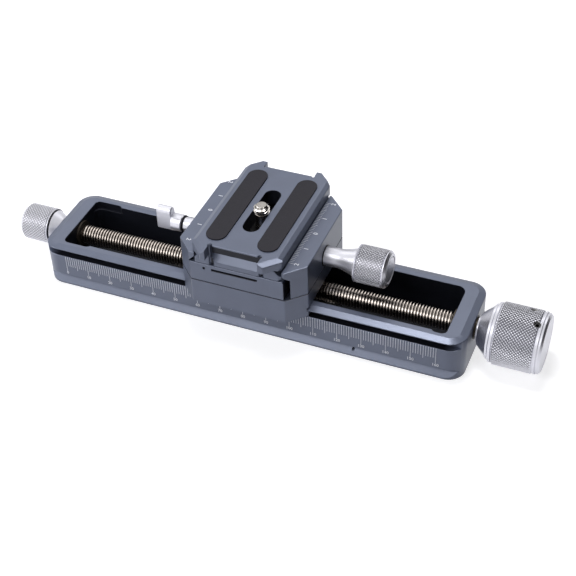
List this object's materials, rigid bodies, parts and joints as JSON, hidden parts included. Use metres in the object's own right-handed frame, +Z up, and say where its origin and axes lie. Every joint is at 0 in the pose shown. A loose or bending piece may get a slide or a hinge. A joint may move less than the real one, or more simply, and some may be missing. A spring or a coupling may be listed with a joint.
{
  "type": "macro focusing rail",
  "caption": "Macro focusing rail: a grooved dovetail rail whose lead screw and knurled knobs drive a clamping carriage that holds a quick-release plate.",
  "frame": {"origin": "middle of the rail's underside, at the mouth of the large tripod thread", "axes": "+X along the rail towards the large drive knob, +Z up, -Y towards the side with the scale"},
  "size_m": [0.2271, 0.0623, 0.0492],
  "materials": {
    "grey_anodised": "satin grey anodised",
    "silver_anodised": "matt silver anodised",
    "stainless": "turned",
    "black_steel": "black oxide",
    "bronze": "turned",
    "rubber": "matt",
    "nylon": "matt"
  },
  "bodies": {
    "base": {"rail_frame": "grey_anodised", "left_bush": "bronze", "right_bush": "stainless", "tripod_insert_large": "stainless", "tripod_inserts_small": "stainless"},
    "drive": {"lead_screw": "stainless", "thrust_washer": "stainless", "drive_knob": "silver_anodised", "drive_knob_screws": "black_steel", "small_knob": "silver_anodised", "small_knob_ring": "rubber", "small_knob_screw": "black_steel"},
    "carriage": {"carriage_saddle": "grey_anodised", "lead_nut": "bronze", "nut_screws": "black_steel", "gib_strip": "bronze", "gib_screws": "black_steel", "clamp_base": "grey_anodised", "clamp_base_screws": "black_steel"},
    "jaw": {"movable_jaw": "grey_anodised", "jaw_guide_pins": "stainless"},
    "clamp_spindle": {"clamp_screw": "stainless", "clamp_clip": "black_steel", "clamp_knob": "silver_anodised", "clamp_washer": "black_steel"},
    "plate": {"quick_release_plate": "grey_anodised", "rubber_strip_left": "rubber", "rubber_strip_right": "rubber"},
    "camera_washer": {"camera_screw_washer": "nylon"},
    "camera_bolt": {"camera_screw": "stainless", "camera_screw_head": "stainless"},
    "lever": {"lock_lever": "silver_anodised", "lock_shaft": "stainless", "lock_ring": "rubber"},
    "brake": {"brake_pin": "bronze"}
  },
  "joints": [
    {"name": "drive_turn", "type": "hinge", "parent": "base", "child": "drive", "pos_m": [0, 0, 0.0126], "axis": [1, 0, 0], "range_deg": [-10660, 17860]},
    {"name": "carriage_slide", "type": "slide", "parent": "base", "child": "carriage", "axis": [1, 0, 0], "range_m": [-0.062, 0.037]},
    {"name": "jaw_slide", "type": "slide", "parent": "carriage", "child": "jaw", "axis": [1, 0, 0], "range_m": [-0.0012, 0.003]},
    {"name": "clamp_turn", "type": "hinge", "parent": "jaw", "child": "clamp_spindle", "pos_m": [0, 0, 0.0312], "axis": [1, 0, 0], "range_deg": [-433, 1081]},
    {"name": "plate_slide", "type": "slide", "parent": "carriage", "child": "plate", "axis": [0, 1, 0], "range_m": [-0.01, 0.01]},
    {"name": "camera_screw_slide", "type": "slide", "parent": "plate", "child": "camera_washer", "axis": [0, 1, 0], "range_m": [-0.0096, 0.011]},
    {"name": "camera_screw_turn", "type": "hinge", "parent": "camera_washer", "child": "camera_bolt", "pos_m": [0.0022, -0.0001, 0.0456], "axis": [0, 0, 1], "continuous": true},
    {"name": "lever_turn", "type": "hinge", "parent": "carriage", "child": "lever", "pos_m": [0, 0, 0.0307], "axis": [1, 0, 0], "range_deg": [-90.1, 0]},
    {"name": "brake_slide", "type": "slide", "parent": "carriage", "child": "brake", "axis": [0, 0, 1], "range_m": [-0.00025, 0]}
  ],
  "couplings": [
    {"joint": "drive_turn", "follows": "carriage_slide", "rad_per_m": -5026.5},
    {"joint": "clamp_turn", "follows": "jaw_slide", "rad_per_m": 6283.2},
    {"joint": "lever_turn", "follows": "brake_slide", "rad_per_m": 6283.2}
  ]
}
